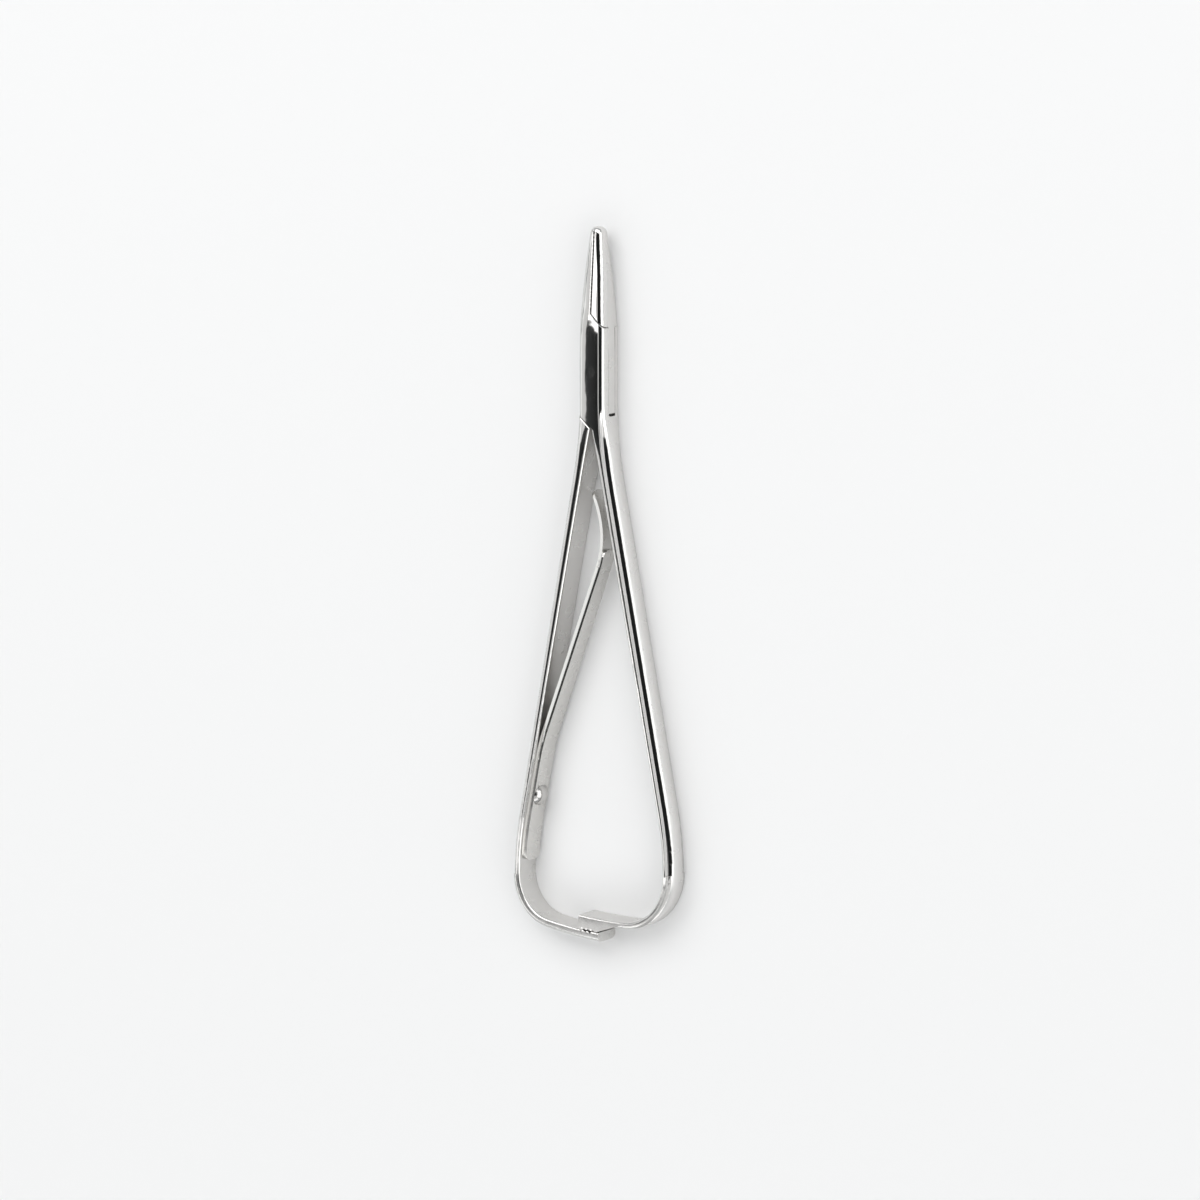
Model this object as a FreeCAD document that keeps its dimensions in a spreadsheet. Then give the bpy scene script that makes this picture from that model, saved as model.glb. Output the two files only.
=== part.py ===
import FreeCAD, Part
import math
import os

import Sketcher
from FreeCAD import Placement, Rotation, Vector

# Needle holder with a box lock, spring handles and a ratchet, 140 mm long, lying flat.
# The two halves close about one pin.  X runs across the instrument, Y towards the jaw
# tips and Z up through its depth.  The origin lies on the pivot axis, on the underside.

# Driving dimensions, in millimetres and degrees
SIZES = {
    # stock of the two forgings
    "stock_depth": 5.3,
    "lock_width": 6.5,
    "outer_round": 1.3,
    "inner_round": 0.45,
    "edge_break": 0.12,
    # jaws
    "jaw_length": 27.7,
    "jaw_gap_tip": 0.05,
    "jaw_gap_root": 0.2,
    "jaw_side_radius": 184.0,
    "jaw_side_start": 2.0,
    "jaw_tip_radius": 1.25,
    "jaw_taper_angle": 3.85,
    "jaw_taper_radius": 60.0,
    "jaw_taper_start": 6.0,
    "groove_pitch": 0.8,
    "groove_depth": 0.13,
    "groove_start": 11.7,
    "groove_count": 19,
    # box lock
    "cheek_height": 11.0,
    "cheek_shoulder": 8.4,
    "tongue_shoulder": 8.0,
    "tongue_depth": 1.8,
    "slot_clearance": 0.05,
    "slot_relief": 0.45,
    "slot_end_round": 0.35,
    "shoulder_clearance": 0.12,
    "crotch_offset": 0.25,
    "pin_diameter": 2.4,
    "pin_clearance": 0.03,
    # handles
    "flare_start": 5.3,
    "flare_radius": 76.0,
    "blend_radius": 58.0,
    "female_bend_radius": 12.5,
    "male_bend_radius": 9.7,
    "bend_thickness": 1.8,
    "female_half_span": 19.84,
    "male_half_span": 20.1,
    # ratchet hooks, concentric with the pin
    "female_hook_round": 0.8,
    "male_hook_round": 0.95,
    "hook_inner_round": 0.4,
    "block_corner": 0.7,
    "male_bar_radius": 112.3,
    "male_bar_thickness": 1.9,
    "hook_clearance": 0.1,
    "female_bar_thickness": 1.35,
    "female_block_thickness": 2.75,
    "block_length_left": 3.0,
    "block_length_right": 1.5,
    "block_ramp_length": 4.0,
    "male_end_length": 2.0,
    "tooth_pitch": 1.15,
    "tooth_depth": 0.42,
    "tooth_count": 3,
    "tooth_start": 0.75,
    "tooth_play": 0.06,
    # leaf springs and their rivet
    "main_leaf_thickness": 0.7,
    "short_leaf_thickness": 0.5,
    "leaf_gap": 0.02,
    "leaf_width": 4.0,
    "leaf_tip_width": 3.4,
    "leaf_foot_rise": 2.9,
    "leaf_lift_rise": 24.0,
    "leaf_lift_angle": 9.4,
    "leaf_lift_radius": 40.0,
    "leaf_curl_start": 38.0,
    "leaf_curl_radius": 16.0,
    "leaf_curl_angle": 54.0,
    "leaf_foot_round": 1.2,
    "leaf_tip_round": 1.3,
    "short_leaf_end": 34.5,
    "rivet_rise": 16.4,
    "rivet_diameter": 2.0,
    "rivet_head_diameter": 4.2,
    "rivet_head_height": 1.2,
    "rivet_clearance": 0.05,
    "rivet_recess": 0.08,
}


class Size:
    """The driving dimensions as attributes, for places that are worked out from them."""

    def __init__(self, table):
        self.__dict__.update(table)


size = Size(SIZES)
half_width = size.lock_width / 2
mid_depth = size.stock_depth / 2
touching = 0.001


def fill_sheet(doc):
    sheet = doc.addObject("Spreadsheet::Sheet", "sizes")
    for row, (name, value) in enumerate(SIZES.items(), start=1):
        sheet.set("A%d" % row, name)
        sheet.set("B%d" % row, str(value))
        sheet.setAlias("B%d" % row, name)
    return sheet


doc = FreeCAD.newDocument("needle_holder")
fill_sheet(doc)
doc.recompute()


def bind(target, prop, formula):
    """Tie a property to the sheet; every word of the formula that is a size becomes its cell."""
    words = formula.split(" ")
    cells = ["<<sizes>>." + word if word in SIZES else word for word in words]
    target.setExpression(prop, " ".join(cells))


def new_body(name):
    body = doc.addObject("PartDesign::Body", name)
    body.Label = name
    return body


def origin_feature(body, role):
    return next(item for item in body.Origin.OriginFeatures if item.Role == role)


def new_sketch(body, name, role="XY_Plane", height=None):
    """A sketch on one of the body's own planes, raised along its normal by a formula."""
    sketch = body.newObject("Sketcher::SketchObject", name)
    sketch.AttachmentSupport = [(origin_feature(body, role), "")]
    sketch.MapMode = "FlatFace"
    if height:
        bind(sketch, "AttachmentOffset.Base.z", height)
    return sketch


class Outline:
    """A closed run of lines and arcs, each joined to the last, tangent where it is smooth."""

    def __init__(self, sketch, start):
        self.sketch = sketch
        self.start = Vector(*start, 0)
        self.first = None
        self.last = None
        self.here = Vector(*start, 0)

    def join(self, index, entry, leave, smooth):
        if self.last is not None:
            kind = "Tangent" if smooth else "Coincident"
            self.sketch.addConstraint(Sketcher.Constraint(kind, self.last[0], self.last[1], index, entry))
        if self.first is None:
            self.first = (index, entry)
        self.last = (index, leave)
        return index

    def line(self, point, smooth=False):
        target = Vector(*point, 0)
        index = self.sketch.addGeometry(Part.LineSegment(self.here, target), False)
        self.here = target
        return self.join(index, 1, 2, smooth)

    def arc(self, point, centre, turn, smooth=False):
        """An arc to point about centre; turn is +1 for anticlockwise and -1 for clockwise."""
        target = Vector(*point, 0)
        middle = Vector(*centre, 0)
        circle = Part.Circle(middle, Vector(0, 0, 1), (self.here - middle).Length)
        begin, end = [math.atan2(p.y - middle.y, p.x - middle.x) for p in (self.here, target)]
        if turn < 0:
            begin, end = end, begin
        index = self.sketch.addGeometry(Part.ArcOfCircle(circle, begin, end), False)
        self.here = target
        entry, leave = (1, 2) if turn > 0 else (2, 1)
        return self.join(index, entry, leave, smooth)

    def close(self):
        if (self.here - self.start).Length > touching:
            self.line((self.start.x, self.start.y))
        self.sketch.addConstraint(
            Sketcher.Constraint("Coincident", self.last[0], self.last[1], self.first[0], self.first[1]))


def dimension(sketch, kind, places, value, name, formula):
    """A driving dimension with a name, tied to the sheet."""
    index = sketch.addConstraint(Sketcher.Constraint(kind, *places, value))
    sketch.renameConstraint(index, name)
    bind(sketch, "Constraints." + name, formula)


def add_pad(body, sketch, name, length, symmetric=False):
    pad = body.newObject("PartDesign::Pad", name)
    pad.Profile = sketch
    pad.SideType = "Symmetric" if symmetric else "One side"
    bind(pad, "Length", length)
    return pad


def add_pocket(body, sketch, name, length, reverse=False, symmetric=False):
    before = body.Shape.Volume
    pocket = body.newObject("PartDesign::Pocket", name)
    pocket.Profile = sketch
    pocket.SideType = "Symmetric" if symmetric else "One side"
    pocket.Reversed = reverse
    bind(pocket, "Length", length)
    doc.recompute()
    if body.Shape.Volume >= before:
        raise RuntimeError(name + " removes nothing")
    return pocket


def dress_edges(body, kind, prop, name, chosen, formula):
    """A fillet or a chamfer on each edge of the body for which chosen(edge) is true."""
    base = body.Tip
    names = ["Edge%d" % (n + 1) for n, edge in enumerate(base.Shape.Edges) if chosen(edge)]
    if not names:
        raise RuntimeError(name + " finds no edge")
    feature = body.newObject("PartDesign::" + kind, name)
    feature.Base = (base, names)
    bind(feature, prop, formula)
    doc.recompute()
    return feature


def add_fillet(body, name, chosen, radius):
    return dress_edges(body, "Fillet", "Radius", name, chosen, radius)


def add_chamfer(body, name, chosen, width):
    return dress_edges(body, "Chamfer", "Size", name, chosen, width)


def polar(radius, across):
    """The point of a circle about the pin that lies at the given X, on the handle side."""
    return (across, -math.sqrt(radius ** 2 - across ** 2))


class Limb:
    """A handle's contour below the lock: a straight run, a long blend, the bend and the bar.

    The straight run starts on a round about start_centre, or at that point where the round
    has no radius, and the run's lean is the one that is tangent to both rounds.
    """

    def __init__(self, start_centre, start_radius, inset, span, bend_radius, bar_radius):
        self.bend_radius = bend_radius - inset
        self.blend_radius = size.blend_radius - inset
        across = span - inset - self.bend_radius
        self.bend_centre = (across, polar(bar_radius - self.bend_radius, across)[1])
        self.widest = (span - inset, self.bend_centre[1])
        self.blend_centre = (span - inset - self.blend_radius, self.bend_centre[1])
        dx = start_centre[0] - self.blend_centre[0]
        dy = start_centre[1] - self.blend_centre[1]
        self.lean = math.atan2(dy, dx) - math.acos((start_radius + self.blend_radius) / math.hypot(dx, dy))
        square = (math.cos(self.lean), math.sin(self.lean))
        self.straight_start = (start_centre[0] - start_radius * square[0],
                               start_centre[1] - start_radius * square[1])
        self.straight_end = (self.blend_centre[0] + self.blend_radius * square[0],
                             self.blend_centre[1] + self.blend_radius * square[1])
        self.bar_start = polar(bar_radius, bar_radius / (bar_radius - self.bend_radius) * across)


def outer_limb(span, bend_radius, bar_radius):
    flare_centre = (half_width + size.flare_radius, -size.flare_start)
    return Limb(flare_centre, size.flare_radius, 0, span, bend_radius, bar_radius)


def inner_limb(span, bend_radius, bar_radius, bar_thickness):
    crotch = (size.crotch_offset, -size.cheek_height)
    return Limb(crotch, 0, size.bend_thickness, span, bend_radius, bar_radius - bar_thickness)


def jaw_side():
    """Where the long arc of a jaw's side meets its tip, and the centre of the tip's arc."""
    middle = (half_width - size.jaw_side_radius, size.jaw_side_start)
    tip_y = size.jaw_length - size.jaw_tip_radius
    reach = size.jaw_side_radius - size.jaw_tip_radius
    rise = tip_y - middle[1]
    tip_centre = (middle[0] + math.sqrt(reach ** 2 - rise ** 2), tip_y)
    scale = size.jaw_side_radius / reach
    meeting = (middle[0] + scale * (tip_centre[0] - middle[0]), middle[1] + scale * rise)
    return middle, meeting, tip_centre


def handle_outline(sketch, side, shoulder, outer, inner):
    """Front view of one half as far as the bend, its handle towards side."""
    def flip(point):
        return (side * point[0], point[1])

    flare_centre = (half_width + size.flare_radius, -size.flare_start)
    middle, meeting, tip_centre = jaw_side()
    jaw_middle = (-middle[0], middle[1])

    run = Outline(sketch, flip((-size.jaw_gap_tip / 2, size.jaw_length)))
    jaw_face = run.line(flip((-size.jaw_gap_root / 2, size.cheek_height)))
    upper_shoulder = run.line(flip((half_width, shoulder)))
    lock_side = run.line(flip((half_width, -size.flare_start)))
    flare_arc = run.arc(flip(outer.straight_start), flip(flare_centre), side, smooth=True)
    run.line(flip(outer.straight_end), smooth=True)
    outer_blend = run.arc(flip(outer.widest), flip(outer.blend_centre), -side, smooth=True)
    run.line(flip(inner.widest))
    inner_blend = run.arc(flip(inner.straight_end), flip(inner.blend_centre), side)
    inner_line = run.line(flip(inner.straight_start), smooth=True)
    under_shoulder = run.line(flip((-half_width, -shoulder)))
    jaw_flat = run.line(flip((-half_width, size.jaw_side_start)))
    side_arc = run.arc(flip((-meeting[0], meeting[1])), flip(jaw_middle), -side, smooth=True)
    tip_arc = run.arc(flip((-tip_centre[0], size.jaw_length)), flip((-tip_centre[0], tip_centre[1])),
                      -side, smooth=True)
    tip_flat = run.line(flip((-size.jaw_gap_tip / 2, size.jaw_length)), smooth=True)
    run.close()
    dimension(sketch, "Radius", (flare_arc,), size.flare_radius, "flare", "flare_radius")
    dimension(sketch, "Radius", (outer_blend,), size.blend_radius, "blend", "blend_radius")
    dimension(sketch, "Radius", (side_arc,), size.jaw_side_radius, "jaw_side", "jaw_side_radius")
    dimension(sketch, "Radius", (tip_arc,), size.jaw_tip_radius, "jaw_tip", "jaw_tip_radius")
    outer_runs = [*range(lock_side, outer_blend + 1), *range(jaw_flat, tip_flat + 1)]
    return outer_runs, [inner_blend, inner_line], [jaw_face, upper_shoulder, under_shoulder]


def hook_outline(sketch, side, outer, inner, bend, hook):
    """Front view of the bend and the hook, which carry on from the handle."""
    def flip(point):
        return (side * point[0], point[1])

    run = Outline(sketch, flip(inner.widest))
    run.line(flip(outer.widest))
    bend_arc = run.arc(flip(outer.bar_start), flip(outer.bend_centre), -side)
    hook(run, flip, side)
    bar_top = run.arc(flip(inner.bar_start), (0, 0), side)
    inner_bend = run.arc(flip(inner.widest), flip(inner.bend_centre), side, smooth=True)
    run.close()
    dimension(sketch, "Radius", (bend_arc,), outer.bend_radius, "bend", bend)
    return [bend_arc, bend_arc + 1], [bar_top, inner_bend]


male_bar_top = size.male_bar_radius - size.male_bar_thickness
block_foot = male_bar_top - size.hook_clearance
female_bar_top = block_foot - size.female_block_thickness
female_bar_radius = female_bar_top + size.female_bar_thickness


def female_hook(run, flip, side):
    """The thin bar, the ramp down to the toothed block, and the block's end face."""
    ramp_start = size.block_length_right + size.block_ramp_length
    run.arc(flip(polar(female_bar_radius, ramp_start)), (0, 0), -side, smooth=True)
    run.line(flip(polar(block_foot, size.block_length_right)))
    foot_end = polar(block_foot, size.block_corner - size.block_length_left)
    corner_centre = (foot_end[0], foot_end[1] + size.block_corner)
    run.arc(flip(foot_end), (0, 0), -side)
    run.arc(flip((-size.block_length_left, corner_centre[1])), flip(corner_centre), -side)
    run.line(flip(polar(female_bar_top, -size.block_length_left)))


def male_hook(run, flip, side):
    """The bar runs on at full thickness to its end face."""
    run.arc(flip(polar(size.male_bar_radius, -size.male_end_length)), (0, 0), -side, smooth=True)
    run.line(flip(polar(male_bar_top, -size.male_end_length)))


def taper_jaws(body):
    """The upper and under faces of the jaw run in towards the tip, after a short round."""
    lean = math.radians(size.jaw_taper_angle)
    round_end = size.jaw_taper_start + size.jaw_taper_radius * math.sin(lean)
    round_drop = size.jaw_taper_radius * (1 - math.cos(lean))
    past_tip = size.jaw_length + size.jaw_tip_radius
    tip_drop = round_drop + math.tan(lean) * (past_tip - round_end)
    for name, face, sign in (("upper_taper", size.stock_depth, 1), ("under_taper", 0, -1)):
        sketch = new_sketch(body, name + "_profile", "YZ_Plane")
        run = Outline(sketch, (size.jaw_taper_start, face))
        run.arc((round_end, face - sign * round_drop),
                (size.jaw_taper_start, face - sign * size.jaw_taper_radius), -sign)
        run.line((past_tip, face - sign * tip_drop), smooth=True)
        run.line((past_tip, face + sign))
        run.line((size.jaw_taper_start, face + sign))
        run.close()
        doc.recompute()
        add_pocket(body, sketch, name, "2 * lock_width", symmetric=True)


def window_outline(sketch, side, shoulder, relief=0):
    """The part of the lock that one half clears for the other, with relief at its lower end."""
    gap = size.shoulder_clearance
    rise = (size.cheek_height - shoulder) / half_width
    lift = gap * math.sqrt(1 + rise ** 2)
    past = size.lock_width

    def on_shoulder(across):
        return (side * across, size.cheek_height + lift - rise * across)

    low_corner = on_shoulder(past)
    high_corner = on_shoulder(-size.pin_diameter / 2)
    run = Outline(sketch, high_corner)
    upper_end = run.line(low_corner)
    run.line((low_corner[0], -high_corner[1] - relief))
    run.line((-high_corner[0], -high_corner[1] - relief))
    lower_end = run.line((-low_corner[0], -low_corner[1] - relief))
    run.line((-low_corner[0], high_corner[1]))
    run.close()
    return upper_end, lower_end


def above_runs(sketch, runs):
    """A test for edges that lie, seen from the front, on the given pieces of an outline."""
    flat = Part.Compound([sketch.Geometry[index].toShape() for index in runs])

    def chosen(edge):
        box = edge.BoundBox
        if box.XLength + box.YLength < touching:
            return False
        middle = edge.valueAt((edge.FirstParameter + edge.LastParameter) / 2)
        return Part.Vertex(middle.x, middle.y, 0).distToShape(flat)[0] < touching
    return chosen


def make_forging(name, side, shoulder, span, bend, bar_radius, bar_thickness, hook, hook_round):
    """One half: its handle first, rounded, and then the bend and hook with their own rounds."""
    body = new_body(name)
    outer = outer_limb(span, SIZES[bend], bar_radius)
    inner = inner_limb(span, SIZES[bend], bar_radius, bar_thickness)
    plan = new_sketch(body, name + "_handle_plan")
    outer_runs, inner_runs, break_runs = handle_outline(plan, side, shoulder, outer, inner)
    doc.recompute()
    add_pad(body, plan, name + "_handle", "stock_depth")
    doc.recompute()
    taper_jaws(body)
    add_fillet(body, name + "_outer_round", above_runs(plan, outer_runs), "outer_round")
    add_fillet(body, name + "_inner_round", above_runs(plan, inner_runs), "inner_round")
    hook_plan = new_sketch(body, name + "_hook_plan")
    outer_runs, inner_runs = hook_outline(hook_plan, side, outer, inner, bend, hook)
    doc.recompute()
    add_pad(body, hook_plan, name + "_hook", "stock_depth")
    doc.recompute()
    add_fillet(body, name + "_hook_outer", above_runs(hook_plan, outer_runs), hook_round)
    add_fillet(body, name + "_hook_inner", above_runs(hook_plan, inner_runs), "hook_inner_round")
    return body, plan, break_runs


female, female_plan, female_breaks = make_forging(
    "box_half", 1, size.cheek_shoulder, size.female_half_span, "female_bend_radius",
    female_bar_radius, size.female_bar_thickness, female_hook, "female_hook_round")
male, male_plan, male_breaks = make_forging(
    "tongue_half", -1, size.tongue_shoulder, size.male_half_span, "male_bend_radius",
    size.male_bar_radius, size.male_bar_thickness, male_hook, "male_hook_round")

# The slot through the box half, and the cheeks' seats on either side of the tongue
slot_sketch = new_sketch(female, "slot_plan", height="stock_depth / 2")
slot_ends = window_outline(slot_sketch, -1, size.tongue_shoulder, size.slot_relief)
doc.recompute()
add_pocket(female, slot_sketch, "slot", "tongue_depth + 2 * slot_clearance", symmetric=True)
for name, height, reverse in (("upper_seat", "stock_depth", False), ("under_seat", None, True)):
    seat_sketch = new_sketch(male, name + "_plan", height=height)
    seat_ends = window_outline(seat_sketch, 1, size.cheek_shoulder)
    doc.recompute()
    add_pocket(male, seat_sketch, name, "( stock_depth - tongue_depth ) / 2", reverse=reverse)



def on_outside(chosen):
    """Of the chosen edges, those that show on the upper or under face, outside the tongue's depth."""
    def outside(edge):
        height = edge.BoundBox.Center.z
        return abs(height - mid_depth) > size.tongue_depth and chosen(edge)
    return outside


# Edge breaks along the jaw faces and along the shoulders where the halves meet
add_chamfer(female, "box_half_edge_break", on_outside(above_runs(female_plan, female_breaks)), "edge_break")
add_chamfer(male, "tongue_half_edge_break", on_outside(above_runs(male_plan, male_breaks[:1])), "edge_break")
add_chamfer(male, "seat_edge_break", on_outside(above_runs(seat_sketch, seat_ends)), "edge_break")

# Round corners where the slot ends beside the handle
slot_end = above_runs(slot_sketch, slot_ends[1:])
add_fillet(female, "slot_end_round",
           lambda edge: abs(edge.BoundBox.Center.z - mid_depth) < size.tongue_depth and slot_end(edge),
           "slot_end_round")


# Straight grooves across both jaw faces, which keep the needle from turning
def cut_grooves(body, name, side):
    sketch = new_sketch(body, name + "_groove", height="stock_depth / 2")
    half_pitch = size.groove_pitch / 2
    face = -side * size.jaw_gap_root / 2
    middle = size.groove_start + half_pitch
    run = Outline(sketch, (face - side * size.groove_depth, middle))
    run.line((face + side * size.groove_depth, middle + 2 * half_pitch))
    run.line((face + side * size.groove_depth, middle - 2 * half_pitch))
    run.close()
    doc.recompute()
    groove = add_pocket(body, sketch, name + "_first", "2 * stock_depth", symmetric=True)
    pattern = body.newObject("PartDesign::LinearPattern", name)
    pattern.Originals = [groove]
    pattern.Direction = (sketch, ["V_Axis"])
    pattern.Mode = "Spacing"
    bind(pattern, "Offset", "groove_pitch")
    bind(pattern, "Occurrences", "groove_count")
    body.Tip = pattern
    doc.recompute()


cut_grooves(female, "box_half_grooves", 1)
cut_grooves(male, "tongue_half_grooves", -1)

# The pin and its holes
for body, name, formula in ((female, "pin_seat", "pin_diameter / 2"),
                            (male, "pin_bore", "pin_diameter / 2 + pin_clearance")):
    bore_sketch = new_sketch(body, name + "_plan", height="stock_depth / 2")
    radius = size.pin_diameter / 2
    circle = bore_sketch.addGeometry(Part.Circle(Vector(0, 0, 0), Vector(0, 0, 1), radius), False)
    bore_sketch.addConstraint(Sketcher.Constraint("Coincident", circle, 3, -1, 1))
    dimension(bore_sketch, "Radius", (circle,), radius, "bore", formula)
    doc.recompute()
    add_pocket(body, bore_sketch, name, "stock_depth + 1", symmetric=True)

pin = new_body("pivot_pin")
pin_sketch = new_sketch(pin, "pin_plan")
circle = pin_sketch.addGeometry(
    Part.Circle(Vector(0, 0, 0), Vector(0, 0, 1), size.pin_diameter / 2), False)
pin_sketch.addConstraint(Sketcher.Constraint("Coincident", circle, 3, -1, 1))
dimension(pin_sketch, "Radius", (circle,), size.pin_diameter / 2, "pin", "pin_diameter / 2")
add_pad(pin, pin_sketch, "pin_shank", "stock_depth")
doc.recompute()

# Ratchet teeth: upright on one side, sloping on the other, so that closing rides over them
def cut_teeth(body, name, radius, inward, first_across, slope_side):
    """Sawtooth gullets into a face that is concentric with the pin, one pitch apart."""
    sketch = new_sketch(body, name + "_gullet", height="stock_depth / 2")
    root_radius = radius + inward * size.tooth_depth
    mouth_radius = radius - inward * size.tooth_depth
    run = Outline(sketch, polar(root_radius, first_across))
    run.line(polar(mouth_radius, first_across))
    run.line(polar(mouth_radius, first_across + 2 * slope_side * size.tooth_pitch))
    run.close()
    doc.recompute()
    gullet = add_pocket(body, sketch, name + "_first", "2 * stock_depth", symmetric=True)
    pattern = body.newObject("PartDesign::PolarPattern", name)
    pattern.Originals = [gullet]
    pattern.Axis = (sketch, ["N_Axis"])
    pattern.Mode = "Spacing"
    bind(pattern, "Offset", "tooth_pitch / male_bar_radius * 180 / pi")
    bind(pattern, "Occurrences", "tooth_count")
    body.Tip = pattern
    doc.recompute()


first_tooth = -size.block_length_left + size.tooth_start
cut_teeth(female, "block_teeth", block_foot, -1, first_tooth, 1)
cut_teeth(male, "bar_teeth", male_bar_top, 1, first_tooth + size.tooth_play, -1)


class LeafPath:
    """The seat face of the springs, from the foot up: headings lean from +Y towards +X."""

    def __init__(self, point, heading):
        self.point = Vector(*point, 0)
        self.heading = math.radians(heading)
        self.steps = []

    def right_of(self, heading):
        return Vector(math.cos(heading), -math.sin(heading), 0)

    def straight_to(self, along):
        start = self.point
        rise = along - start.y
        self.point = start + Vector(math.tan(self.heading) * rise, rise, 0)
        self.steps.append((start, self.point, self.heading, self.heading, None, 0))

    def turn(self, radius, to_heading, side):
        """side is +1 where the path turns towards +X and -1 where it turns back."""
        start = self.point
        begin = self.heading
        self.heading = math.radians(to_heading)
        centre = start + self.right_of(begin) * radius * side
        self.point = centre - self.right_of(self.heading) * radius * side
        self.steps.append((start, self.point, begin, self.heading, centre, side))

    def draw(self, sketch, near, far):
        """The strip between two offsets to the right of the path."""
        first_step, last_step = self.steps[0], self.steps[-1]
        begin = first_step[0] + self.right_of(first_step[2]) * near
        run = Outline(sketch, (begin.x, begin.y))
        for index, (start, end, leaving, arriving, centre, side) in enumerate(self.steps):
            target = end + self.right_of(arriving) * near
            if centre:
                run.arc((target.x, target.y), (centre.x, centre.y), -side, smooth=index > 0)
            else:
                run.line((target.x, target.y), smooth=index > 0)
        cap = last_step[1] + self.right_of(last_step[3]) * far
        run.line((cap.x, cap.y))
        for index, (start, end, leaving, arriving, centre, side) in enumerate(reversed(self.steps)):
            target = start + self.right_of(leaving) * far
            if centre:
                run.arc((target.x, target.y), (centre.x, centre.y), side, smooth=index > 0)
            else:
                run.line((target.x, target.y), smooth=index > 0)
        run.close()


male_inner = inner_limb(size.male_half_span, size.male_bend_radius, size.male_bar_radius,
                        size.male_bar_thickness)


# Heights on the handle, counted from where the bend begins
bend_height = male_inner.widest[1]
foot_height = bend_height + size.leaf_foot_rise
rivet_height = bend_height + size.rivet_rise
lift_height = bend_height + size.leaf_lift_rise


def seat_heading(height):
    """The lean of the handle's inner face, in degrees: it grows up the blend and then stays."""
    rise = (height - male_inner.blend_centre[1]) / male_inner.blend_radius
    return math.degrees(min(math.asin(min(rise, 1)), male_inner.lean))


def seat_point(height):
    lean = math.radians(seat_heading(height))
    blend_height = male_inner.blend_centre[1] + male_inner.blend_radius * math.sin(lean)
    across = -male_inner.blend_centre[0] - male_inner.blend_radius * math.cos(lean)
    return (across + math.tan(lean) * (height - blend_height), height)


seat_lean = math.degrees(male_inner.lean)
leaf_lean = seat_lean + size.leaf_lift_angle


def leaf_path(end_heading):
    path = LeafPath(seat_point(foot_height), seat_heading(foot_height))
    path.turn(male_inner.blend_radius, seat_lean, 1)
    path.straight_to(lift_height)
    path.turn(size.leaf_lift_radius, leaf_lean, 1)
    path.straight_to(-size.leaf_curl_start)
    path.turn(size.leaf_curl_radius, end_heading, -1)
    return path


def make_leaf(name, near, thickness, end_heading):
    body = new_body(name)
    sketch = new_sketch(body, name + "_side_view", height="stock_depth / 2")
    path = leaf_path(end_heading)
    path.draw(sketch, near, near + thickness)
    foot = Vector(*seat_point(foot_height), mid_depth)
    tip = Vector(path.point.x, path.point.y, mid_depth)
    doc.recompute()
    add_pad(body, sketch, name + "_strip", "leaf_width", symmetric=True)
    doc.recompute()
    for place, sign in (("upper", 1), ("under", -1)):
        taper = new_sketch(body, name + "_" + place + "_taper", "YZ_Plane")
        edge = mid_depth + sign * size.leaf_width / 2
        narrowing = sign * (size.leaf_width - size.leaf_tip_width) / 2 / (-size.leaf_curl_start - lift_height)
        run = Outline(taper, (lift_height, edge))
        run.line((0, edge + narrowing * lift_height))
        run.line((0, edge + sign * size.leaf_width))
        run.line((lift_height, edge + sign * size.leaf_width))
        run.close()
        doc.recompute()
        add_pocket(body, taper, name + "_" + place + "_side", "4 * male_half_span", symmetric=True)
    for place, corner, radius in (("foot", foot, "leaf_foot_round"), ("tip", tip, "leaf_tip_round")):
        def at_corner(edge):
            across = abs(edge.Length - thickness) < 0.01 * thickness
            return across and edge.CenterOfMass.distanceToPoint(corner) < size.leaf_width
        add_fillet(body, name + "_" + place + "_round", at_corner, radius)
    return body


main_leaf = make_leaf("main_spring", size.leaf_gap, size.main_leaf_thickness,
                      leaf_lean - size.leaf_curl_angle)
curl_top = leaf_path(leaf_lean).point
curl_centre_y = curl_top.y + size.leaf_curl_radius * math.sin(math.radians(leaf_lean))
short_end_heading = math.degrees(math.asin((curl_centre_y + size.short_leaf_end) / size.leaf_curl_radius))
short_leaf = make_leaf("short_spring", 2 * size.leaf_gap + size.main_leaf_thickness,
                       size.short_leaf_thickness, short_end_heading)

# The rivet stands square to the handle's inner face, its domed head on the springs
stack = 4 * size.leaf_gap + size.main_leaf_thickness + size.short_leaf_thickness
rivet = new_body("spring_rivet")
rivet_sketch = new_sketch(rivet, "rivet_profile", "XZ_Plane")
head_radius = size.rivet_head_diameter / 2
shank_foot = -size.bend_thickness + size.rivet_recess
dome_radius = (head_radius ** 2 + size.rivet_head_height ** 2) / (2 * size.rivet_head_height)
run = Outline(rivet_sketch, (0, shank_foot))
run.line((size.rivet_diameter / 2, shank_foot))
run.line((size.rivet_diameter / 2, stack))
run.line((head_radius, stack))
run.arc((0, stack + size.rivet_head_height), (0, stack + size.rivet_head_height - dome_radius), 1)
run.close()
doc.recompute()
turned = rivet.newObject("PartDesign::Revolution", "rivet_turned")
turned.Profile = rivet_sketch
turned.ReferenceAxis = (rivet_sketch, ["V_Axis"])
turned.Angle = 360
doc.recompute()

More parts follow.
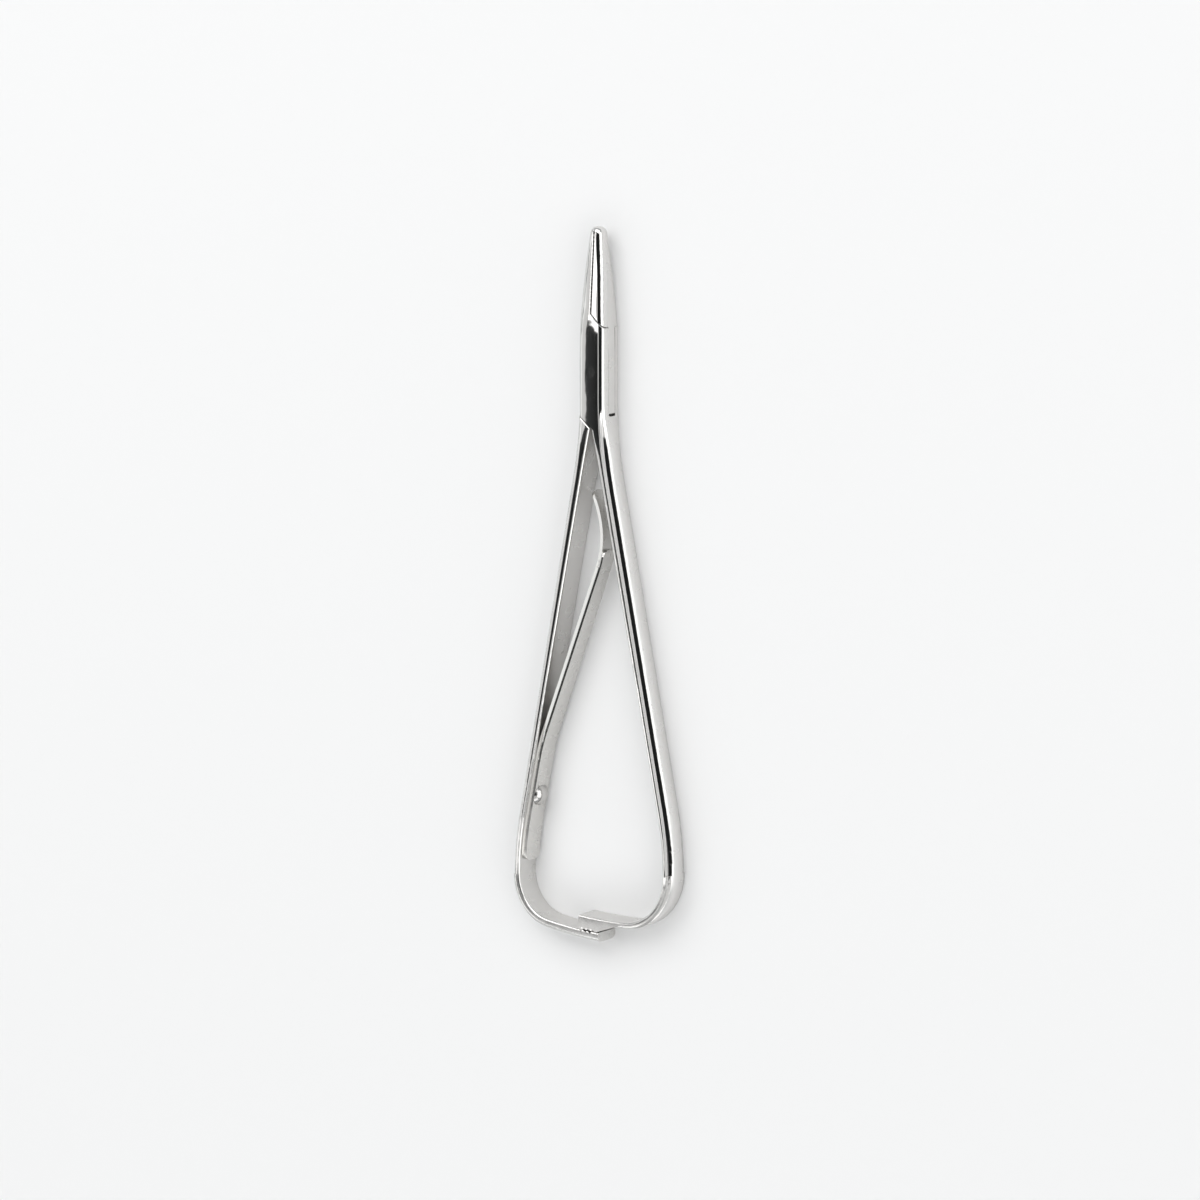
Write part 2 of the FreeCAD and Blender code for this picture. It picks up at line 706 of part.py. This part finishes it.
rivet_lean = math.radians(seat_heading(rivet_height))
rivet_axis = Vector(math.cos(rivet_lean), -math.sin(rivet_lean), 0)
rivet_seat = Vector(*seat_point(rivet_height), mid_depth)
rivet.Placement = Placement(rivet_seat, Rotation(Vector(0, 0, 1), rivet_axis))
for body in (male, main_leaf, short_leaf):
    hole = body.newObject("PartDesign::SubtractiveCylinder", body.Label + "_rivet_hole")
    hole.MapMode = "Deactivated"
    hole.Placement = Placement(rivet_seat - rivet_axis * size.bend_thickness * 2,
                               Rotation(Vector(0, 0, 1), rivet_axis))
    bind(hole, "Radius", "rivet_diameter / 2 + rivet_clearance")
    bind(hole, "Height", "4 * bend_thickness")
doc.recompute()

parts = [female, male, pin, main_leaf, short_leaf, rivet]
bad = [item.Name for item in doc.Objects if "Invalid" in item.State or "Error" in item.State]
if bad:
    raise RuntimeError("failed: " + ", ".join(bad))
os.makedirs("parts", exist_ok=True)
for part in parts:
    if part.Shape.isNull() or not part.Shape.isValid():
        raise RuntimeError(part.Label + " has no valid shape")
    part.Shape.exportStep("parts/" + part.Label + ".step")
    box = part.Shape.BoundBox
    print(part.Label, len(part.Shape.Solids), round(part.Shape.Volume, 2),
          [round(v, 2) for v in (box.XMin, box.XMax, box.YMin, box.YMax, box.ZMin, box.ZMax)])
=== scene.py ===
# %% [markdown]
# This needle holder is two forged steel halves that cross in a box lock, with a pin,
# two leaf springs and a rivet. All of them come from the CAD frame at their real size
# and place, so the first step loads them.
# %% Load the frame
import math
import bpy
from mathutils import Matrix, Vector

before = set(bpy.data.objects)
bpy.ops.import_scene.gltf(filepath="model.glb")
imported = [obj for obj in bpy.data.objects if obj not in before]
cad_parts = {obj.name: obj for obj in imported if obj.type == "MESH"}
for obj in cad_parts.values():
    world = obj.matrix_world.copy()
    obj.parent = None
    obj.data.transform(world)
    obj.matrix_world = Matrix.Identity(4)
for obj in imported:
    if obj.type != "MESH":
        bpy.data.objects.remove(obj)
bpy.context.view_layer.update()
print("nodes:", ", ".join(sorted(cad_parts)))

# %% [markdown]
# The photograph looks at the broad face of the instrument a little from its right side,
# and from near its tips. The instrument lies on the table here, so the camera looks
# down on it. The camera comes first, because every finish is judged through it.
# %% Camera
view_azimuth = math.radians(40)
view_elevation = math.radians(11.5)
view_distance = 1.0
sensor_width = 36
lens_length = 155.5
nearest = 0.01
middle = Vector((0, -0.045, 0.00265))
framing = (0.00023, 0.00018)

back = Vector((math.sin(view_azimuth) * math.cos(view_elevation),
               math.sin(view_elevation),
               math.cos(view_azimuth) * math.cos(view_elevation)))
right = Vector((0, 1, 0)).cross(back).normalized()
up = back.cross(right)
aim = middle + right * framing[0] + up * framing[1]
camera_data = bpy.data.cameras.new("camera")
camera_data.sensor_width = sensor_width
camera_data.lens = lens_length
camera_data.clip_start = nearest
camera = bpy.data.objects.new("camera", camera_data)
camera.matrix_world = (Matrix.Translation(aim + back * view_distance)
                       @ Matrix((right, up, back)).transposed().to_4x4())
bpy.context.scene.collection.objects.link(camera)
bpy.context.scene.camera = camera
bpy.context.scene.view_settings.view_transform = "Standard"
print("camera at", [round(c, 3) for c in camera.matrix_world.translation])

# %% [markdown]
# The room and the steels are made of nodes. In Blender's window they are added and
# linked by hand, and here four short helpers do it: a number goes into a socket or a
# link is drawn, a math node, a blend from one value to another, and a vector's parts.
# %% Helpers for nodes
def set_or_link(tree, socket, value):
    if isinstance(value, (int, float)):
        socket.default_value = value
    else:
        tree.links.new(value, socket)


def add_math(tree, operation, first, second=0):
    node = tree.nodes.new("ShaderNodeMath")
    node.operation = operation
    for socket, value in zip(node.inputs, (first, second)):
        set_or_link(tree, socket, value)
    return node.outputs["Value"]


def add_blend(tree, value, start, end, low, high, kind="SMOOTHSTEP"):
    node = tree.nodes.new("ShaderNodeMapRange")
    node.interpolation_type = kind
    limits = {"Value": value, "From Min": start, "From Max": end, "To Min": low, "To Max": high}
    for label, limit in limits.items():
        set_or_link(tree, node.inputs[label], limit)
    return node.outputs["Result"]


def split_axes(tree, vector):
    node = tree.nodes.new("ShaderNodeSeparateXYZ")
    tree.links.new(vector, node.inputs["Vector"])
    return [node.outputs[axis] for axis in "XYZ"]


print("helpers ready")

# %% [markdown]
# Polished steel has hardly a colour of its own: it shows the room. So the room is
# planned like a photographer's tent. The table is pale and the walls are pale up to
# about thirty degrees. Above them a dark haze falls off to an almost black ceiling,
# which gives the black bands that make polished steel look like steel. A world colour
# that depends on height does this, as the sum of two falls.
# %% Room
wall_light = 0.42
wall_top = 0.42
ceiling_start = 0.56
haze_light = 0.08
haze_bottom = 0.55
ceiling_light = 0.015
haze_top = 0.88
room_tone = (0.95, 0.99, 1.0, 1)

world = bpy.data.worlds.new("tent")
bpy.context.scene.world = world
world.use_nodes = True
room = world.node_tree
height = split_axes(room, room.nodes.new("ShaderNodeTexCoord").outputs["Generated"])[2]
wall_fall = add_blend(room, height, wall_top, ceiling_start, wall_light, 0)
haze_fall = add_blend(room, height, haze_bottom, haze_top, haze_light, ceiling_light, "LINEAR")
background = room.nodes["Background"]
room.links.new(add_math(room, "ADD", wall_fall, haze_fall), background.inputs["Strength"])
background.inputs["Color"].default_value = room_tone
print("room: walls", wall_light, "ceiling", ceiling_light)

# %% [markdown]
# Eight soft boxes light the table. Area lamps are used, since they show in reflections.
# Four hang overhead: lock_box and leg_box lie as grey strips in the faces of the lock and
# the handles, tip_box whitens the jaws, and ring_box the hooks. right_box and left_box
# make the outer sides pale, and far_box and near_box the faces that look to either end.
# %% Soft boxes
def soft_box(name, place, target, along, width, length, radiance):
    shine = (Vector(place) - Vector(target)).normalized()
    across = Vector(along).cross(shine).normalized()
    lamp = bpy.data.lights.new(name, "AREA")
    lamp.shape = "RECTANGLE"
    lamp.size = width
    lamp.size_y = length
    lamp.energy = radiance * math.pi * width * length
    holder = bpy.data.objects.new(name, lamp)
    holder.matrix_world = (Matrix.Translation(place)
                           @ Matrix((across, shine.cross(across), shine)).transposed().to_4x4())
    bpy.context.scene.collection.objects.link(holder)
    print("soft box", name, "power", round(lamp.energy, 2))


lengthwise = (0, 1, 0)
crosswise = (1, 0, 0)
soft_box("lock_box", (-0.33, 0.21, 1.08), (-0.33, 0.21, 0), lengthwise, 0.34, 0.84, 0.7)
soft_box("leg_box", (-0.33, -0.32, 1.08), (-0.33, -0.32, 0), lengthwise, 0.34, 0.2, 0.25)
soft_box("right_box", (1.3, -0.045, 0.55), middle, lengthwise, 0.92, 1.8, 1.6)
soft_box("left_box", (-1.2, -0.25, 0.62), middle, lengthwise, 0.75, 1.3, 0.72)
soft_box("tip_box", (-0.74, 0.135, 1.04), (-0.74, 0.135, 0), lengthwise, 0.72, 0.44, 1.7)
soft_box("ring_box", (0, -0.71, 1.04), (0, -0.71, 0), (-0.02, 1, 0), 3.0, 0.58, 0.76)
soft_box("far_box", (0, 0.85, 0.85), middle, crosswise, 0.8, 2.2, 2.3)
soft_box("near_box", (0, -1.2, 0.75), middle, crosswise, 0.6, 2.2, 1.4)

# %% [markdown]
# The table is a plain pale sheet that the instrument lies on. It is matt, so it keeps
# only the soft shadow, and it also fills the sides of the steel with light.
# %% Table
table_side = 8.0
table_tone = (0.9, 0.9, 0.9, 1)
bpy.ops.mesh.primitive_plane_add(size=table_side)
table = bpy.context.object
table.name = "table"
table_material = bpy.data.materials.new("pale_table")
table_material.use_nodes = True
table_shader = table_material.node_tree.nodes["Principled BSDF"]
table_shader.inputs["Base Color"].default_value = table_tone
table_shader.inputs["Roughness"].default_value = 1.0
table_shader.inputs["Specular IOR Level"].default_value = 0.0
table.data.materials.append(table_material)
print("table side", table_side)

# %% [markdown]
# The halves are ground by hand before they are polished, so no surface is quite flat:
# slow waves bend the reflections. One node group makes those waves for every steel.
# %% Waves left by hand grinding
def new_group(name, inputs, outputs):
    group = bpy.data.node_groups.new(name, "ShaderNodeTree")
    for label, value in inputs:
        socket = group.interface.new_socket(label, in_out="INPUT", socket_type="NodeSocketFloat")
        socket.default_value = value
    for label in outputs:
        group.interface.new_socket(label, in_out="OUTPUT", socket_type="NodeSocketFloat")
    entry = group.nodes.new("NodeGroupInput")
    leave = group.nodes.new("NodeGroupOutput")
    return group, entry, leave


def add_noise(tree, place, scale, detail, stretch=(1, 1, 1)):
    mapping = tree.nodes.new("ShaderNodeMapping")
    mapping.inputs["Scale"].default_value = stretch
    noise = tree.nodes.new("ShaderNodeTexNoise")
    noise.inputs["Scale"].default_value = scale
    noise.inputs["Detail"].default_value = detail
    tree.links.new(place, mapping.inputs["Vector"])
    tree.links.new(mapping.outputs["Vector"], noise.inputs["Vector"])
    return noise.outputs["Fac"]


def object_coordinates(tree):
    coordinates = tree.nodes.new("ShaderNodeTexCoord")
    return coordinates.outputs["Object"], coordinates.outputs["Normal"]


long_wave_scale = 160.0
short_wave_scale = 520.0
waves, waves_in, waves_out = new_group("ground_waves", [("Long Waves", 1.0), ("Short Waves", 0.25)],
                                       ["Height"])
waves_place = object_coordinates(waves)[0]
long_waves = add_math(waves, "MULTIPLY", add_noise(waves, waves_place, long_wave_scale, 1.0),
                      waves_in.outputs["Long Waves"])
short_waves = add_math(waves, "MULTIPLY", add_noise(waves, waves_place, short_wave_scale, 1.0),
                       waves_in.outputs["Short Waves"])
waves.links.new(add_math(waves, "ADD", long_waves, short_waves), waves_out.inputs["Height"])
print("group", waves.name)

# %% [markdown]
# Sides and inner faces keep the fine lines of the last grinding belt, while the broad
# faces are buffed bright. A second group gives both: stretched noise for the lines, a
# cloud for the uneven polish, and a mask that is high on the sides. The mask also rises
# at the hooks, where the hand rubs the polish down to a satin.
# %% Grain
line_scale = 900.0
line_stretch = (1.0, 0.06, 1.0)
cloud_scale = 330.0
top_tilt = 0.45
side_tilt = 0.12
hook_start = -0.096
hook_full = -0.106
hook_satin = 0.6

grain, grain_in, grain_out = new_group("belt_grain", [("Side Satin", 1.0)], ["Grain", "Satin", "Mottle"])
grain_place, grain_normal = object_coordinates(grain)
fine_lines = add_noise(grain, grain_place, line_scale, 2.0, line_stretch)
cloud = add_noise(grain, grain_place, cloud_scale, 3.0)
upright = add_math(grain, "ABSOLUTE", split_axes(grain, grain_normal)[2])
side_mask = add_blend(grain, upright, top_tilt, side_tilt, 0, 1)
hook_mask = add_blend(grain, split_axes(grain, grain_place)[1], hook_start, hook_full, 0, hook_satin)
satin_mask = add_math(grain, "MAXIMUM", side_mask, hook_mask)
satin_share = add_math(grain, "MULTIPLY", satin_mask, grain_in.outputs["Side Satin"])
for label, value in (("Grain", fine_lines), ("Satin", satin_share), ("Mottle", cloud)):
    grain.links.new(value, grain_out.inputs[label])
print("group", grain.name)

# %% [markdown]
# On the real tool the broad faces aren't flat: the polishing wheel leaves them a little
# domed from edge to edge, most of all on the bars. Only the reflections show it, so a
# group gives the height of such a crown over the middle line of each bar. The middle
# line is a straight leg, then a bend, then an arc about the pin. This cell measures how
# far each point of a half lies from that line.
# %% Distance from the middle line of a bar
crown_sockets = [("Leg Slope", 0.2), ("Leg Offset", 0.0), ("Bend Radius", 0.01), ("Hook Radius", 0.11),
                 ("Bar Curve", 200.0), ("Outward", 1.0)]
crown, crown_in, crown_out = new_group("wheel_crown", crown_sockets, ["Height"])
crown_place, crown_normal = object_coordinates(crown)
across, along, depth = split_axes(crown, crown_place)


def square(value):
    return add_math(crown, "MULTIPLY", value, value)


def length_of(first, second):
    return add_math(crown, "SQRT", add_math(crown, "ADD", square(first), square(second)))


leg_line = add_math(crown, "SUBTRACT", crown_in.outputs["Leg Offset"],
                    add_math(crown, "MULTIPLY", along, crown_in.outputs["Leg Slope"]))
from_leg = add_math(crown, "SUBTRACT", add_math(crown, "ABSOLUTE", across), leg_line)
from_hook = add_math(crown, "SUBTRACT", length_of(across, along), crown_in.outputs["Hook Radius"])
bend_radius = crown_in.outputs["Bend Radius"]
leg_part = add_math(crown, "MAXIMUM", add_math(crown, "ADD", from_leg, bend_radius))
hook_part = add_math(crown, "MAXIMUM", add_math(crown, "ADD", from_hook, bend_radius))
from_bar = add_math(crown, "SUBTRACT", length_of(leg_part, hook_part), bend_radius)
print("group", crown.name, "measures from the middle line")

# %% [markdown]
# A face that is domed with a curve c lies c/2 times the squared distance below its
# middle. The curve changes from the jaws to the lock, the bars and the hooks, and the
# outer sides are domed across their height. The group gives the sum as a height.
# %% Crown of the faces
lock_curve = 1 / 0.018
jaw_curve = 1 / 0.007
hook_curve = 1 / 0.03
side_curve = 1 / 0.004
side_middle = 0.0018
jaw_start, jaw_full = 0.007, 0.013
bar_start, bar_full = -0.009, -0.017
bend_start, bend_full = -0.088, -0.1
outer_start, outer_full = -0.006, -0.017
outer_tilt, outer_upright = 0.2, 0.6

bar_half = add_math(crown, "MULTIPLY", crown_in.outputs["Bar Curve"], 0.5)
bar_drop = add_math(crown, "MULTIPLY", square(from_bar),
                    add_blend(crown, along, bend_start, bend_full, bar_half, hook_curve / 2))
lock_drop = add_math(crown, "MULTIPLY", square(across),
                     add_blend(crown, along, jaw_start, jaw_full, lock_curve / 2, jaw_curve / 2))
on_bar = add_blend(crown, along, bar_start, bar_full, 0, 1)
on_lock = add_math(crown, "SUBTRACT", 1, on_bar)
top_drop = add_math(crown, "ADD", add_math(crown, "MULTIPLY", lock_drop, on_lock),
                    add_math(crown, "MULTIPLY", bar_drop, on_bar))
outward = add_math(crown, "MULTIPLY", split_axes(crown, crown_normal)[0], crown_in.outputs["Outward"])
outer_side = add_math(crown, "MULTIPLY", add_blend(crown, outward, outer_tilt, outer_upright, 0, 1),
                      add_blend(crown, along, outer_start, outer_full, 0, 1))
off_middle = add_math(crown, "SUBTRACT", depth, side_middle)
side_drop = add_math(crown, "MULTIPLY", square(off_middle), side_curve / 2)
drop = add_math(crown, "ADD", top_drop, add_math(crown, "MULTIPLY", side_drop, outer_side))
crown.links.new(add_math(crown, "MULTIPLY", drop, -1), crown_out.inputs["Height"])
print("group", crown.name, "gives the height")

# %% [markdown]
# Each steel is a metal shader. Roughness goes from the bright value to the satin value
# where the mask says so, and the cloud makes it uneven, as on a hand-finished tool.
# Bump nodes in a chain carry the forms: first the crown or a lean of the whole edge,
# then the waves, then the fine lines.
# %% Steel
mottle_base = 0.6
mottle_span = 0.8


def add_group(tree, group):
    node = tree.nodes.new("ShaderNodeGroup")
    node.node_tree = group
    return node


def add_bump(tree, height, distance, normal=None):
    bump = tree.nodes.new("ShaderNodeBump")
    bump.inputs["Strength"].default_value = 1.0
    bump.inputs["Distance"].default_value = distance
    tree.links.new(height, bump.inputs["Height"])
    if normal:
        tree.links.new(normal, bump.inputs["Normal"])
    return bump.outputs["Normal"]


def steel_material(name, tone, bright, satin, side_satin, wave_depth, line_depth, middle_line=None, lean=0):
    material = bpy.data.materials.new(name)
    material.use_nodes = True
    tree = material.node_tree
    shader = tree.nodes["Principled BSDF"]
    shader.inputs["Base Color"].default_value = (*tone, 1)
    shader.inputs["Metallic"].default_value = 1.0
    belt = add_group(tree, grain)
    belt.inputs["Side Satin"].default_value = side_satin
    base = add_math(tree, "ADD", add_math(tree, "MULTIPLY", belt.outputs["Satin"], satin - bright), bright)
    mottle = add_math(tree, "MULTIPLY", belt.outputs["Mottle"], mottle_span)
    uneven = add_math(tree, "ADD", mottle, mottle_base)
    tree.links.new(add_math(tree, "MULTIPLY", base, uneven), shader.inputs["Roughness"])
    form = None
    if middle_line:
        wheel = add_group(tree, crown)
        for socket, value in zip(wheel.inputs, middle_line):
            socket.default_value = value
        form = add_bump(tree, wheel.outputs["Height"], 1.0)
    if lean:
        form = add_bump(tree, split_axes(tree, object_coordinates(tree)[0])[0], lean)
    waved = add_bump(tree, add_group(tree, waves).outputs["Height"], wave_depth, form)
    tree.links.new(add_bump(tree, belt.outputs["Grain"], line_depth, waved), shader.inputs["Normal"])
    print("material", name)
    return material


print("steel maker ready")

# %% [markdown]
# The halves are of one steel, each with its own middle line for the crown: its leg's
# slope and offset, its bend's radius, its hook's radius about the pin, the curve of the
# bar and the side that is outward. The long leaf leans, since its edge is filed slightly
# askew and so shows pale beside the darker short leaf. The rivet is duller.
# %% Steels of the pieces
right_line = (0.2203, -0.000935, 0.0113, 0.1082, 1 / 0.005, 1)
left_line = (0.2071, -0.000725, 0.0088, 0.11135, 1 / 0.0055, -1)
polished_tone = (0.73, 0.72, 0.705)
spring_tone = (0.71, 0.70, 0.68)
rivet_tone = (0.56, 0.55, 0.535)
right_steel = steel_material("right_half_steel", polished_tone, 0.07, 0.3, 1.0, 0.00007, 0.000002, right_line)
left_steel = steel_material("left_half_steel", polished_tone, 0.07, 0.3, 1.0, 0.00007, 0.000002, left_line)
pin_steel = steel_material("pin_steel", polished_tone, 0.1, 0.3, 1.0, 0.0001, 0.000002)
short_steel = steel_material("short_spring_steel", spring_tone, 0.12, 0.28, 1.0, 0.00002, 0.000003)
spring_steel = steel_material("spring_steel", spring_tone, 0.12, 0.28, 1.0, 0.00002, 0.000003, lean=0.2)
rivet_steel = steel_material("rivet_steel", rivet_tone, 0.17, 0.2, 0.0, 0.00003, 0.000001)

# %% [markdown]
# Every piece has one finish all over, as a forging or a strip has. The slots that came
# with the CAD are cleared and the steel takes their place. The meshes stay as they are,
# and the print tells whether they carry the smooth shading of the rounded edges.
# %% Dress the CAD parts
finishes = {"box_half": right_steel, "tongue_half": left_steel, "pivot_pin": pin_steel,
            "main_spring": spring_steel, "short_spring": short_steel, "spring_rivet": rivet_steel}
for name, material in finishes.items():
    node = bpy.data.objects[name]
    node.data.materials.clear()
    node.data.materials.append(material)
    shading = "smooth" if node.data.has_custom_normals else "flat"
    print(name, len(node.data.polygons), "triangles,", shading, "shading")

# %% [markdown]
# Spring strip is cut and then tumbled, so its edges are round. The CAD leaves have sharp
# edges. A Weld modifier joins their loose triangles and a Bevel modifier rounds the
# edges, so that each leaf shows a bright line, and the two leaves a dark line between.
# %% Round the edges of the leaves
same_corner = 0.000001
edge_angle = math.radians(40)
for name, strip_round in (("main_spring", 0.00026), ("short_spring", 0.0002)):
    leaf = bpy.data.objects[name]
    joined = leaf.modifiers.new("joined", "WELD")
    joined.merge_threshold = same_corner
    rounded = leaf.modifiers.new("rounded", "BEVEL")
    rounded.width = strip_round
    rounded.segments = 3
    rounded.limit_method = "ANGLE"
    rounded.angle_limit = edge_angle
    shaded = leaf.modifiers.new("shaded", "WEIGHTED_NORMAL")
    shaded.keep_sharp = False
    print(name, "edges rounded by", strip_round)
